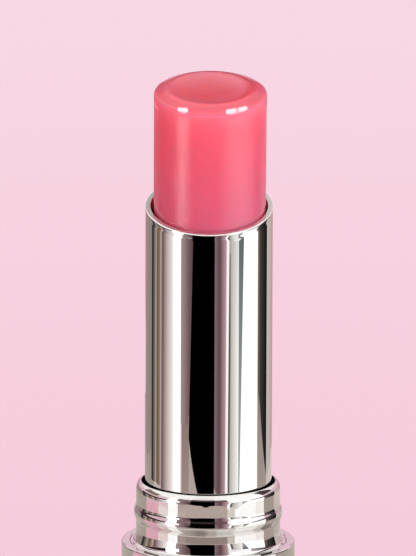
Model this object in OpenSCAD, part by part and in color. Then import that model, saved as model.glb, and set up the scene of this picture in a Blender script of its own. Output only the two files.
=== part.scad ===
// Lip balm stick with a twist-up screw, without its cap. Lengths in millimetres.
// The origin is the centre of the underside, +Z runs up the stick and the low side of the mouth faces -Y.

/* [Base] */
// Height of the base, from the surface it stands on to its rim
base_h = 24; // [22:0.5:34]
// Wall of the base shell, which shows as its flat rim
base_wall = 0.9; // [0.5:0.05:1.5]
// Floor of the base shell
base_floor = 1; // [0.6:0.1:2]
// Rounding of the lower outside edge
base_foot_r = 0.5; // [0.2:0.1:1]
// Width of the ring that the base stands on
foot_ring_w = 1.2; // [0.8:0.1:2.5]
// Height of that ring under the floor
foot_ring_h = 0.4; // [0.2:0.1:0.8]
// Rounding of the rim's outer edge
base_edge_r = 0.18; // [0.1:0.01:0.3]
// Rounding of the edges beside the seam between rim and collar
rim_edge_r = 0.12; // [0.05:0.01:0.2]
// Height of the steel weight
weight_h = 6; // [3:0.5:7]
// Chamfer on the weight's edges
weight_chamfer = 0.3; // [0.1:0.1:0.8]

/* [Insert] */
// Outer wall of the ribbed plug that holds collar and spindle
insert_wall = 1; // [0.7:0.1:1.4]
// Top plate of the plug
insert_top_t = 1.2; // [0.8:0.1:2]
// Wall round the spindle's socket
boss_wall = 1.2; // [0.9:0.1:1.6]
// Thickness of a rib of the plug
insert_rib_t = 0.8; // [0.5:0.1:1.2]
// Number of ribs
insert_ribs = 6; // [3:1:8]

/* [Collar] */
// Wall of the collar that the cap slides over
collar_wall = 0.56; // [0.5:0.02:0.9]
// Height of the collar above the base rim
collar_h = 6.65; // [6:0.05:9]
// Height of the rounding outside the collar's top edge
collar_roll_h = 0.9; // [0.3:0.05:1]
// Width of that rounding
collar_roll_w = 0.5; // [0.3:0.02:0.5]
// How far the snap bead stands out
bead_bulge = 0.225; // [0.1:0.025:0.35]
// Height of the snap bead
bead_h = 1.6; // [1.2:0.1:2.2]
// Height of the bead's middle above the base rim
bead_z = 3.2; // [2.8:0.05:4]
// Hollow rounding above and below the bead
bead_fillet_r = 1.1; // [0.2:0.1:1.3]
// Width of the flat between the collar's wall and the base shell
collar_step = 0.645; // [0.5:0.005:1]
// Width of the hollow flare at the collar's foot
flare_w = 0.25; // [0.1:0.05:0.4]
// Height of that flare
flare_h = 1.45; // [0.6:0.05:1.7]
// Depth of the collar's skirt inside the base
skirt_h = 12; // [8:0.5:13]
// Depth of the shoulder that holds the tube down, below the base rim
shoulder_drop = 2; // [1.5:0.1:3]
// How far that shoulder stands in from the skirt's bore
shoulder_in = 0.435; // [0.3:0.005:0.6]

/* [Tube] */
// Length of tube above the collar, on the axis
tube_h = 30.35; // [28:0.05:40]
// Wall of the drawn metal tube
tube_wall = 0.3; // [0.25:0.01:0.5]
// Slant of the mouth
mouth_slant = 13.8; // [0:0.1:20]
// Height of the lip that is turned in at the mouth
lip_h = 1; // [0.6:0.1:2]
// Rounding of the lip's edges
lip_edge_r = 0.14; // [0.08:0.01:0.2]

/* [Liner] */
// Wall of the moulded liner inside the tube
liner_wall = 0.35; // [0.3:0.01:0.6]
// Floor of the liner
liner_floor = 1.6; // [1:0.1:2.5]
// Height of the foot flange
liner_flange_h = 2; // [1.6:0.1:2.4]
// Thickness of the rubber ring that gives the twist its drag
drag_ring_d = 0.8; // [0.5:0.05:0.9]

/* [Balm] */
// Diameter of the balm
balm_od = 12.1; // [11.5:0.1:16]
// Depth of the balm's top edge below the mouth, on the axis, when it is wound right down
tip_drop = 1.65; // [1.4:0.05:3]
// How far the balm is wound up from there, as the stick is stored
lower_travel = 14; // [0:0.5:15]
// Slant of the balm's top
tip_slant = 9.8; // [0:0.1:15]
// Rounding of the top edge
tip_edge_r = 0.3; // [0.1:0.05:0.5]
// Width of the shoulder that slopes up from that edge to the crest
shoulder_w = 1.5; // [0.8:0.02:2.5]
// Rise of the shoulder
shoulder_rise = 0.62; // [0.2:0.01:1.2]
// Depth of the dish in the top, below the crest
dish_depth = 0.45; // [0:0.05:0.8]

/* [Twist-up screw] */
// Diameter over the spindle's thread
screw_od = 4.2; // [3.8:0.1:4.4]
// Diameter at the bottom of the thread
screw_root_d = 3; // [2.4:0.1:3.2]
// Rise of the carrier for one turn
screw_lead = 6; // [5:0.5:9]
// Length along the axis of a thread at its crest
thread_crest = 1.1; // [0.8:0.05:1.3]
// Length along the axis that each flank takes
thread_flank = 0.2; // [0.1:0.05:0.4]
// Width across the corners of the spindle's hexagon foot
hex_d = 4.6; // [4:0.1:5]
// Length of the hexagon foot
hex_h = 6; // [3:0.5:8]
// Diameter of the spindle's thrust flange
thrust_d = 8; // [6:0.5:10]
// Thickness of the thrust flange
thrust_t = 0.8; // [0.5:0.1:1.2]
// Diameter of the journal that turns in the liner's floor
journal_d = 5.1; // [4.8:0.1:5.6]
// How far the snap ring stands out from the journal
snap_step = 0.2; // [0.1:0.05:0.3]
// Height of the snap ring
snap_h = 0.5; // [0.3:0.1:0.8]

/* [Carrier] */
// Height of the cup that holds the balm
cup_h = 6.5; // [5:0.5:7]
// Depth of the cup's rim below the low side of the mouth, when the balm is wound right up
cup_short = 1.3; // [1:0.1:4]
// Wall of the cup
cup_wall = 0.62; // [0.5:0.02:0.8]
// Floor of the cup
cup_floor = 1; // [0.7:0.1:1.5]
// Wall of the hub that rides on the spindle
hub_wall = 1; // [0.8:0.1:1.4]
// Height of the threaded part of the hub
nut_h = 2.2; // [1.5:0.1:3]
// Width of a guide lug
lug_w = 1.2; // [0.8:0.1:2]
// Height of a guide lug
lug_h = 3; // [2:0.5:4]
// Width of a rib that grips the balm
grip_w = 0.6; // [0.4:0.1:1]
// How far a grip rib stands in from the cup's wall
grip_depth = 0.5; // [0.3:0.1:0.8]
// Number of grip ribs
grips = 6; // [3:1:8]

/* [Fits] */
// Gap round pieces that are pressed or glued together
press_gap = 0.03; // [0.02:0.01:0.04]
// Gap round the tube and the journal, which turn
running_gap = 0.05; // [0.03:0.01:0.08]
// Gap along the axis between turning faces
axial_gap = 0.1; // [0.05:0.01:0.15]
// Gap between collar and tube
collar_gap = 0.365; // [0.3:0.005:0.4]
// Gap beside the guide lugs, and round the thread
slide_gap = 0.1; // [0.08:0.01:0.12]
// Gap between the balm and the liner
balm_gap = 0.12; // [0.08:0.01:0.15]
// Gap between the balm and the mouth's lip
lip_gap = 0.25; // [0.2:0.01:0.4]

/* [Hidden] */
$fn = 96;
// Sides and steps of the two slanted rims, which are no bodies of revolution
rim_sides = 72;
rim_steps = 6;
// Points along a thread's crest and root, and steps in a turn of thread
crest_points = 4;
root_points = 3;
turn_steps = 20;
start_count = 2;
// How far cuts run past what they cut
overrun = 0.5;
// How far a slanted rim stands in from the wall that it tops, and a hollow rounding dips into its wall
rim_inset = 0.01;

// Radius of an arc that leaves a wall at a tangent and is w away from it after a height of h
function arc_r(w, h) = (w * w + h * h) / (2 * w);

// Radii, from the balm outwards
balm_r = balm_od / 2;
lip_r = balm_r + lip_gap;
liner_bore_r = balm_r + balm_gap;
liner_r = liner_bore_r + liner_wall;
tube_bore_r = liner_r + press_gap;
tube_r = tube_bore_r + tube_wall;
collar_bore_r = tube_r + collar_gap;
collar_r = collar_bore_r + collar_wall;
skirt_r = collar_r + collar_step;
skirt_bore_r = collar_bore_r + shoulder_in;
base_bore_r = skirt_r + press_gap;
base_r = base_bore_r + base_wall;
insert_r = skirt_bore_r - press_gap;
flange_r = skirt_bore_r - slide_gap;
drag_r = skirt_bore_r - running_gap - drag_ring_d / 2;
bead_arc_r = arc_r(bead_bulge, bead_h / 2);

// Radii, from the spindle outwards
screw_r = screw_od / 2;
root_r = screw_root_d / 2;
journal_r = journal_d / 2;
hex_r = hex_d / 2;
nut_bore_r = screw_r + slide_gap;
hub_r = nut_bore_r + hub_wall;
core_r = screw_r + 3 * slide_gap;
cup_bore_r = balm_r - cup_wall;
lug_r = tube_bore_r - slide_gap;
slot_w = lug_w + 2 * slide_gap;

// Heights of the base and of what turns in it
weight_z = foot_ring_h + base_floor;
insert_z = weight_z + weight_h;
skirt_z = base_h - skirt_h;
shoulder_z = base_h - shoulder_drop;
collar_top = base_h + collar_h;
bead_mid = base_h + bead_z;
bead_reach = sqrt(bead_bulge * (2 * (bead_arc_r + bead_fillet_r - rim_inset) - bead_bulge));
flange_top = shoulder_z - axial_gap;
flange_z = flange_top - liner_flange_h;
drag_z = flange_z + liner_flange_h / 2;
insert_top = flange_z - axial_gap;
thrust_top = insert_top + thrust_t;
liner_floor_z = thrust_top + axial_gap;
liner_floor_top = liner_floor_z + liner_floor;
snap_z = liner_floor_top + axial_gap;
thread_z = snap_z + snap_h;

// Heights of the mouth, of the cup at both ends of its travel and as stored, and of the balm
mouth_z = collar_top + tube_h;
mouth_drop = tube_r * tan(mouth_slant);
liner_top = mouth_z - mouth_drop - lip_h - axial_gap;
parked_z = thread_z + 2 * axial_gap;
cup_z = parked_z + lower_travel;
cup_top = cup_z + cup_h;
raised_z = mouth_z - mouth_drop - cup_short - cup_h;
slot_z = parked_z - axial_gap;
slot_top = raised_z + lug_h + axial_gap;
thread_top = raised_z + nut_h + 2 * axial_gap;
tip_z = mouth_z - tip_drop + lower_travel;
core_top = thread_top + snap_h + lower_travel + axial_gap;

// What a rounding takes off a corner. The body lies on the side away from the signs in out.
module corner_cut(at, r, out) {
    translate([at[0] - out[0] * r, at[1] - out[1] * r])
        mirror([out[0] < 0 ? 1 : 0, 0])
            mirror([0, out[1] < 0 ? 1 : 0])
                difference() {
                    square(r + overrun);
                    circle(r);
                }
}

// What an arc that leaves the wall at a tangent, h below the corner, takes off a width of w at the top
module arc_cut(at, w, h) {
    translate([at[0] - w, at[1] - h])
        difference() {
            square([w + overrun, h + overrun]);
            translate([w - arc_r(w, h), 0]) circle(arc_r(w, h));
        }
}

// A hollow flare in the corner between a wall and the flat at its foot
module flare(at, w, h) {
    translate(at)
        difference() {
            translate([-w, 0]) square([2 * w, h]);
            translate([arc_r(w, h) - rim_inset, h]) circle(arc_r(w, h));
        }
}

// Section of the snap bead: an arc, with a hollow rounding above and below it
module bead_section() {
    intersection() {
        translate([collar_r + bead_bulge - bead_arc_r, bead_mid]) circle(bead_arc_r);
        translate([collar_r - collar_wall / 2, bead_mid - bead_arc_r]) square(2 * bead_arc_r);
    }
    difference() {
        translate([collar_r - collar_wall / 2, bead_mid - bead_reach])
            square([
                collar_wall / 2 + bead_bulge * bead_fillet_r / (bead_arc_r + bead_fillet_r),
                2 * bead_reach
            ]);
        for (side = [-1, 1])
            translate([collar_r + bead_fillet_r - rim_inset, bead_mid + side * bead_reach])
                circle(bead_fillet_r);
    }
}

// Everything above the plane that crosses the axis at z and rises towards +Y
module above_slant(z, slant, reach) {
    translate([0, 0, z])
        rotate([slant, 0, 0])
            translate([-reach, -reach, 0]) cube([2 * reach, 2 * reach, 2 * reach]);
}

// The points of rings [radius, height], with every ring laid on the slant
function slanted_points(rings, slant) = [
    for (ring = rings, i = [0 : rim_sides - 1])
        let (a = 360 * i / rim_sides, y = ring[0] * sin(a))
            [ring[0] * cos(a), y, ring[1] + y * tan(slant)]
];

function band_faces(lower, upper) = [
    for (i = [0 : rim_sides - 1])
        let (j = (i + 1) % rim_sides)
            [lower * rim_sides + i, upper * rim_sides + i, upper * rim_sides + j, lower * rim_sides + j]
];

// A solid through the rings from the lowest to the last, closed flat at both ends
module slanted_solid(rings, slant) {
    last = len(rings) - 1;
    polyhedron(
        points = slanted_points(rings, slant),
        faces = concat(
            [[for (i = [0 : rim_sides - 1]) i]],
            [for (k = [0 : last - 1]) each band_faces(k, k + 1)],
            [[for (i = [rim_sides - 1 : -1 : 0]) last * rim_sides + i]]
        ),
        convexity = 4
    );
}

// A closed ring through the rings, in order round its section
module slanted_ring(rings, slant) {
    last = len(rings) - 1;
    polyhedron(
        points = slanted_points(rings, slant),
        faces = [for (k = [0 : last]) each band_faces(k, k == last ? 0 : k + 1)],
        convexity = 4
    );
}

// Section across the spindle's thread: two crests, with each flank's share of the lead as an angle
function thread_section(low_r, crest_r, crest_a, root_a) = [
    for (s = [0 : start_count - 1])
        each concat(
            [for (i = [0 : crest_points])
                let (a = 360 * s / start_count - crest_a / 2 + crest_a * i / crest_points)
                    [crest_r * cos(a), crest_r * sin(a)]],
            [for (i = [0 : root_points])
                let (a = 360 * (s + 1 / 2) / start_count - root_a / 2 + root_a * i / root_points)
                    [low_r * cos(a), low_r * sin(a)]]
        )
];

function lead_angle(length) = 360 * length / screw_lead;
root_angle = 360 / start_count - lead_angle(thread_crest + 2 * thread_flank);

// Turns a section left-handed up the axis from z, in step with the spindle's thread
module left_hand_thread(z, h) {
    translate([0, 0, z])
        rotate(-lead_angle(z - thread_z))
            linear_extrude(
                height = h,
                twist = lead_angle(h),
                slices = ceil(turn_steps * h / screw_lead),
                convexity = 4,
                $fn = 0
            )
                children();
}

// Bright shell of the base, open at the top, standing on a ring
module base_shell() {
    color("gainsboro")
        rotate_extrude()
            difference() {
                square([base_r, base_h]);
                translate([0, weight_z]) square([base_bore_r, base_h]);
                translate([0, -overrun]) square([base_r - foot_ring_w, foot_ring_h + overrun]);
                corner_cut([base_r, 0], base_foot_r, [1, -1]);
                corner_cut([base_r, base_h], base_edge_r, [1, 1]);
                corner_cut([base_bore_r, base_h], rim_edge_r, [-1, 1]);
            }
}

// Steel slug on the floor of the shell
module base_weight() {
    r = base_bore_r - press_gap;
    color("slategray")
        translate([0, 0, weight_z])
            rotate_extrude()
                polygon([
                    [0, 0],
                    [r - weight_chamfer, 0],
                    [r, weight_chamfer],
                    [r, weight_h - weight_chamfer],
                    [r - weight_chamfer, weight_h],
                    [0, weight_h]
                ]);
}

// Ribbed plug that stands on the weight, with the spindle's socket in its middle
module base_insert() {
    boss_r = hex_r + press_gap + boss_wall;
    hollow_r = insert_r - insert_wall;
    color("ivory")
        difference() {
            union() {
                translate([0, 0, insert_z]) cylinder(r = skirt_r, h = skirt_z - insert_z);
                translate([0, 0, insert_z]) cylinder(r = insert_r, h = insert_top - insert_z);
            }
            difference() {
                translate([0, 0, insert_z - overrun])
                    cylinder(r = hollow_r, h = insert_top - insert_top_t - insert_z + overrun);
                translate([0, 0, insert_z - 2 * overrun]) cylinder(r = boss_r, h = insert_top);
                for (i = [0 : insert_ribs - 1])
                    rotate(360 * i / insert_ribs)
                        translate([0, -insert_rib_t / 2, insert_z - 2 * overrun])
                            cube([base_r, insert_rib_t, insert_top]);
            }
            translate([0, 0, insert_top - hex_h - axial_gap])
                cylinder(r = hex_r + press_gap, h = hex_h + axial_gap + overrun, $fn = 6);
        }
}

// Bright collar with a rounded top edge, a snap bead for the cap and a skirt pressed into the base
module collar() {
    color("gainsboro")
        rotate_extrude()
            difference() {
                union() {
                    translate([skirt_bore_r, skirt_z]) square([skirt_r - skirt_bore_r, skirt_h]);
                    translate([collar_bore_r, shoulder_z])
                        square([collar_r - collar_bore_r, collar_top - shoulder_z]);
                    translate([collar_bore_r, shoulder_z])
                        square([skirt_r - collar_bore_r, base_h - shoulder_z]);
                    flare([collar_r, base_h], flare_w, flare_h);
                    bead_section();
                }
                arc_cut([collar_r, collar_top], collar_roll_w, collar_roll_h);
                corner_cut([skirt_r, base_h], rim_edge_r, [1, 1]);
            }
}

// Screw on the axis: hexagon foot, thrust flange, journal with its snap ring, two-start thread
module spindle() {
    color("white") {
        translate([0, 0, insert_top - hex_h]) cylinder(r = hex_r, h = hex_h, $fn = 6);
        rotate_extrude()
            difference() {
                union() {
                    translate([0, insert_top]) square([thrust_d / 2, thrust_t]);
                    translate([0, insert_top]) square([journal_r, snap_z - insert_top]);
                    translate([0, snap_z]) square([journal_r + snap_step, snap_h]);
                    translate([0, insert_top]) square([root_r, thread_top + snap_h - insert_top]);
                }
                corner_cut([journal_r + snap_step, thread_z], snap_step, [1, 1]);
                corner_cut([root_r, thread_top + snap_h], snap_h / 2, [1, 1]);
            }
        left_hand_thread(thread_z, thread_top - thread_z)
            polygon(thread_section(root_r - rim_inset, screw_r, lead_angle(thread_crest), root_angle));
    }
}

// Drawn metal tube with a slanted mouth and a turned-in lip
module tube_cover() {
    color("gainsboro") {
        difference() {
            translate([0, 0, flange_top])
                cylinder(r = tube_r, h = mouth_z + mouth_drop + overrun - flange_top);
            difference() {
                translate([0, 0, flange_top - overrun])
                    cylinder(r = tube_bore_r, h = mouth_z + mouth_drop + 3 * overrun - flange_top);
                above_slant(mouth_z - lip_h, mouth_slant, 2 * tube_r);
            }
            translate([0, 0, flange_top]) cylinder(r = lip_r, h = mouth_z + mouth_drop);
            above_slant(mouth_z - 2 * lip_edge_r, mouth_slant, 2 * tube_r);
        }
        slanted_ring(
            concat(
                [for (i = [0 : rim_steps / 2])
                    let (a = 90 * i / (rim_steps / 2))
                        [tube_r - rim_inset - lip_edge_r * (1 - cos(a)),
                            mouth_z - lip_edge_r * (1 - sin(a))]],
                [for (i = [0 : rim_steps / 2])
                    let (a = 90 * i / (rim_steps / 2))
                        [lip_r + rim_inset + lip_edge_r * (1 - sin(a)),
                            mouth_z - lip_edge_r * (1 - cos(a))]],
                [[lip_r + rim_inset, mouth_z - lip_h / 2], [tube_r - rim_inset, mouth_z - lip_h / 2]]
            ),
            mouth_slant
        );
    }
}

// Moulded liner: slots that guide the carrier, a floor that turns on the journal, a flange under the collar
module tube_liner() {
    color("whitesmoke")
        difference() {
            union() {
                translate([0, 0, flange_z]) cylinder(r = liner_r, h = liner_top - flange_z);
                translate([0, 0, flange_z]) cylinder(r = flange_r, h = liner_flange_h);
            }
            translate([0, 0, liner_floor_top]) cylinder(r = liner_bore_r, h = liner_top);
            translate([0, 0, flange_z - overrun])
                cylinder(r = journal_r + running_gap, h = liner_floor_top - flange_z + 2 * overrun);
            translate([0, 0, flange_z - overrun])
                cylinder(r = thrust_d / 2 + running_gap, h = liner_floor_z - flange_z + overrun);
            translate([0, 0, drag_z])
                rotate_extrude()
                    translate([drag_r - drag_ring_d / 2 - press_gap, -drag_ring_d / 2 - press_gap])
                        square([flange_r, drag_ring_d + 2 * press_gap]);
            for (side = [0, 180])
                rotate(side)
                    translate([0, -slot_w / 2, slot_z]) cube([tube_r, slot_w, slot_top - slot_z]);
        }
}

// Rubber ring in the groove of the liner's flange
module drag_ring() {
    color("dimgray")
        translate([0, 0, drag_z])
            rotate_extrude() translate([drag_r, 0]) circle(d = drag_ring_d);
}

// The ribs that grip the balm, which the balm is cast round
module grip_ribs() {
    for (i = [0 : grips - 1])
        rotate(360 * (i + 1 / 2) / grips)
            translate([cup_bore_r - grip_depth, -grip_w / 2, cup_z + cup_floor])
                cube([grip_depth + cup_wall / 2, grip_w, cup_h - cup_floor - grip_depth]);
}

// Cup on the screw: a hub with a short two-start nut, guide lugs in the liner's slots, ribs in the balm
module carrier() {
    nut_crest = screw_lead / start_count - thread_crest - 2 * thread_flank - 2 * slide_gap;
    color("white") {
        difference() {
            union() {
                translate([0, 0, cup_z])
                    difference() {
                        cylinder(r = balm_r, h = cup_h);
                        translate([0, 0, cup_floor]) cylinder(r = cup_bore_r, h = cup_h);
                    }
                translate([0, 0, cup_z]) cylinder(r = hub_r, h = cup_h);
                grip_ribs();
                for (side = [0, 180])
                    rotate(side)
                        translate([cup_bore_r, -lug_w / 2, cup_z])
                            cube([lug_r - cup_bore_r, lug_w, lug_h]);
            }
            translate([0, 0, cup_z - overrun]) cylinder(r = nut_bore_r, h = cup_h + 2 * overrun);
        }
        left_hand_thread(cup_z, nut_h)
            rotate(180 / start_count)
                nut_section(
                    root_r + slide_gap,
                    nut_bore_r + hub_wall / 2,
                    lead_angle(nut_crest),
                    lead_angle(nut_crest + 2 * thread_flank)
                );
    }
}

// The nut's two teeth, each an arc with sloping flanks
module nut_section(tip_r, back_r, tip_a, back_a) {
    for (s = [0 : start_count - 1])
        rotate(360 * s / start_count)
            polygon(concat(
                [for (i = [0 : crest_points])
                    let (a = tip_a * (i / crest_points - 1 / 2)) [tip_r * cos(a), tip_r * sin(a)]],
                [for (i = [crest_points : -1 : 0])
                    let (a = back_a * (i / crest_points - 1 / 2)) [back_r * cos(a), back_r * sin(a)]]
            ));
}

// Cast balm: a foot in the cup, a core for the spindle, a sloping shoulder and a dished top on a slant
module balm() {
    edge_turn = 90 - atan(shoulder_rise / shoulder_w);
    edge_mid = [balm_r - rim_inset - tip_edge_r, tip_z - tip_edge_r * tan(edge_turn / 2)];
    crest_r = balm_r - rim_inset - shoulder_w;
    color("lightcoral") {
        difference() {
            union() {
                translate([0, 0, cup_top]) cylinder(r = balm_r, h = tip_z + balm_r - cup_top);
                translate([0, 0, cup_z + cup_floor])
                    cylinder(r = cup_bore_r - press_gap, h = cup_h - cup_floor);
            }
            above_slant(tip_z - tip_edge_r, tip_slant, balm_od);
            grip_ribs();
            translate([0, 0, cup_z]) cylinder(r = hub_r + press_gap, h = cup_h);
            translate([0, 0, cup_z]) cylinder(r = core_r, h = core_top - cup_z);
        }
        slanted_solid(
            concat(
                [[balm_r - rim_inset, tip_z - 2 * tip_edge_r]],
                [for (i = [0 : rim_steps])
                    let (a = edge_turn * i / rim_steps) edge_mid + tip_edge_r * [cos(a), sin(a)]],
                [for (i = [0 : rim_steps - 1])
                    let (share = 1 - i / rim_steps)
                        [crest_r * share, tip_z + shoulder_rise - dish_depth * (1 - share * share)]]
            ),
            tip_slant
        );
    }
}

base_shell();
base_weight();
base_insert();
collar();
spindle();
tube_cover();
tube_liner();
drag_ring();
carrier();
balm();
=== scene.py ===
"""Dresses the twist-up lip balm stick: turned metal shells, the cast balm and the studio round them."""

import logging
import math
from collections.abc import Sequence
from dataclasses import dataclass, field
from enum import Enum

import bpy
from mathutils import Matrix, Vector


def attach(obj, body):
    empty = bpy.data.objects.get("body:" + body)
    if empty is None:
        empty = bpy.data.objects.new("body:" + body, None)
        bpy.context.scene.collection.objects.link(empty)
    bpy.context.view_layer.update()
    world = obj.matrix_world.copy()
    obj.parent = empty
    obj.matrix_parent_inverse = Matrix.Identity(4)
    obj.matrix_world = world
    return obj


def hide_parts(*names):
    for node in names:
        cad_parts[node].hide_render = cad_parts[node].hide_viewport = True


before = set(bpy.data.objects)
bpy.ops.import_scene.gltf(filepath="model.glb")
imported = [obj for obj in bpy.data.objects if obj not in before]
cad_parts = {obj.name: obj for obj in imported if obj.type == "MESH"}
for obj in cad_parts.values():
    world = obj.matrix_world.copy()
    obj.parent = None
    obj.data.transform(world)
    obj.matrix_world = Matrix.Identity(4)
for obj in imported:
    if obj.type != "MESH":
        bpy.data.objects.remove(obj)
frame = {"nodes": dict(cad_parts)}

LOG = logging.getLogger("lip_balm_stick")

# Types that recur: a pair of sizes or the ends of a range, and a place on a colour ramp with its hex colour.
Pair = tuple[float, float]
Stop = tuple[float, str]
Stops = tuple[Stop, ...]
Socket = bpy.types.NodeSocket
Node = bpy.types.Node
Material = bpy.types.Material
Piece = bpy.types.Object
MM = 0.001
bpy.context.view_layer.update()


class Body(Enum):
    """The three bodies that move against each other."""

    BASE = "base"
    TUBE = "tube"
    LIFT = "lift"


class Ends(Enum):
    """How a turned piece is closed: first ring joined to last, or each end filled."""

    JOINED = "joined"
    FILLED = "filled"


class Along(Enum):
    """The way that tones run over a band of paper: along its edges, or from edge to edge."""

    EDGE = "X"
    ACROSS = "Y"


def srgb(code: str) -> tuple[float, float, float, float]:
    """Turns an sRGB hex colour into linear values.

    Args:
        code: Six hex digits.

    Returns:
        Red, green, blue and 1.
    """
    shares = [int(code[i : i + 2], 16) / 255 for i in (0, 2, 4)]
    red, green, blue = (c / 12.92 if c <= 0.04045 else ((c + 0.055) / 1.055) ** 2.4 for c in shares)
    return red, green, blue, 1.0


def metres(*sizes: float) -> tuple[float, ...]:
    """Turns millimetres into metres.

    Args:
        sizes: The sizes in millimetres.

    Returns:
        The same sizes in metres.
    """
    return tuple(size * MM for size in sizes)


@dataclass(frozen=True)
class Graph:
    """A node tree, and the one function that adds its nodes."""

    tree: bpy.types.NodeTree

    def add(
        self,
        kind: str,
        settings: dict[str, object] | None = None,
        values: dict[str | int, object] | None = None,
        stops: Sequence[Stop] = (),
    ) -> Node:
        """Adds one node with its settings, its socket values and its incoming links.

        Args:
            kind: The node's type, without its ShaderNode prefix.
            settings: Attributes of the node itself.
            values: Socket name or number to a plain value, or to the output socket that feeds it.
            stops: Place and sRGB hex colour of each of a ramp's stops, in order.

        Returns:
            The new node.
        """
        node = self.tree.nodes.new("ShaderNode" + kind)
        for name, value in (settings or {}).items():
            setattr(node, name, value)
        for name, value in (values or {}).items():
            if isinstance(value, Socket):
                self.tree.links.new(value, node.inputs[name])
            else:
                node.inputs[name].default_value = value
        for i, (place, code) in enumerate(stops):
            elements = node.color_ramp.elements
            element = elements[i] if i < len(elements) else elements.new(place)
            element.position = place
            element.color = srgb(code)
        return node

    def off_axis(self, place: Socket, aside_mm: Pair = (0.0, 0.0)) -> Socket:
        """Works out how far a place is from the stick's axis, or from an axis beside it.

        Args:
            place: Coordinates in metres.
            aside_mm: Where that axis stands, in millimetres.

        Returns:
            The distance in metres.
        """
        flat = self.add("VectorMath", {"operation": "MULTIPLY"}, {0: place, 1: (1, 1, 0)}).outputs["Vector"]
        axis = (*metres(*aside_mm), 0)
        return self.add("VectorMath", {"operation": "DISTANCE"}, {0: flat, 1: axis}).outputs["Value"]

    def seen(self) -> Socket:
        """Returns 1 for rays from the camera or a mirror, and 0 for light."""
        rays = self.add("LightPath").outputs
        both = {0: rays["Is Camera Ray"], 1: rays["Is Glossy Ray"]}
        return self.add("Math", {"operation": "MAXIMUM"}, both).outputs["Value"]

    def end_in_mix(self, output: str, share: Socket, first: Node, second: Node) -> None:
        """Ends the tree in a mix of two shaders.

        Args:
            output: Type of the output node.
            share: Share of the second shader.
            first: Shader where the share is 0.
            second: Shader where the share is 1.
        """
        both = self.add("MixShader", values={0: share, 1: first.outputs[0], 2: second.outputs[0]})
        self.add(output, values={"Surface": both.outputs["Shader"]})


def empty_material(name: str) -> tuple[Material, Graph]:
    """Starts a material without nodes.

    Args:
        name: Its name.

    Returns:
        The material, and its graph.
    """
    material = bpy.data.materials.new(name)
    material.use_nodes = True
    material.node_tree.nodes.clear()
    return material, Graph(material.node_tree)


# Turned pieces


@dataclass(frozen=True)
class Ring:
    """One circle of a turned piece: radius, height and shift to +X in mm, slant towards +Y in degrees."""

    radius: float
    height: float
    slant: float = 0.0
    aside: float = 0.0


def arc_rings(centre: Pair, radius: float, span: Pair, steps: int, slant: float = 0.0) -> list[Ring]:
    """Lays rings along an arc of the section.

    Args:
        centre: The arc's centre as radius and height, in millimetres.
        radius: The arc's radius.
        span: First and last angle in degrees, from outwards (0) over upwards (90).
        steps: Number of steps between the rings.
        slant: Slant of every ring, in degrees.

    Returns:
        The rings in order.
    """
    angles = [math.radians(span[0] + (span[1] - span[0]) * i / steps) for i in range(steps + 1)]
    return [Ring(centre[0] + radius * math.cos(a), centre[1] + radius * math.sin(a), slant) for a in angles]


def bend_rings(start: Ring, tilts: Pair, rise: float, steps: int) -> list[Ring]:
    """Lays rings inwards and up along an arc whose normal tilts from one angle to another.

    Args:
        start: The ring that the arc starts from, which isn't repeated.
        tilts: First and last tilt of the surface's normal above the horizontal, in degrees.
        rise: Height that the arc gains, in millimetres.
        steps: Number of rings.

    Returns:
        The rings after the first.
    """
    low, high = (math.radians(t) for t in tilts)
    radius = rise / (math.sin(high) - math.sin(low))
    made = []
    for i in range(1, steps + 1):
        tilt = low + (high - low) * i / steps
        inward = radius * (math.cos(low) - math.cos(tilt))
        up = radius * (math.sin(tilt) - math.sin(low))
        made.append(Ring(start.radius - inward, start.height + up, start.slant, start.aside))
    return made


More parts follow.
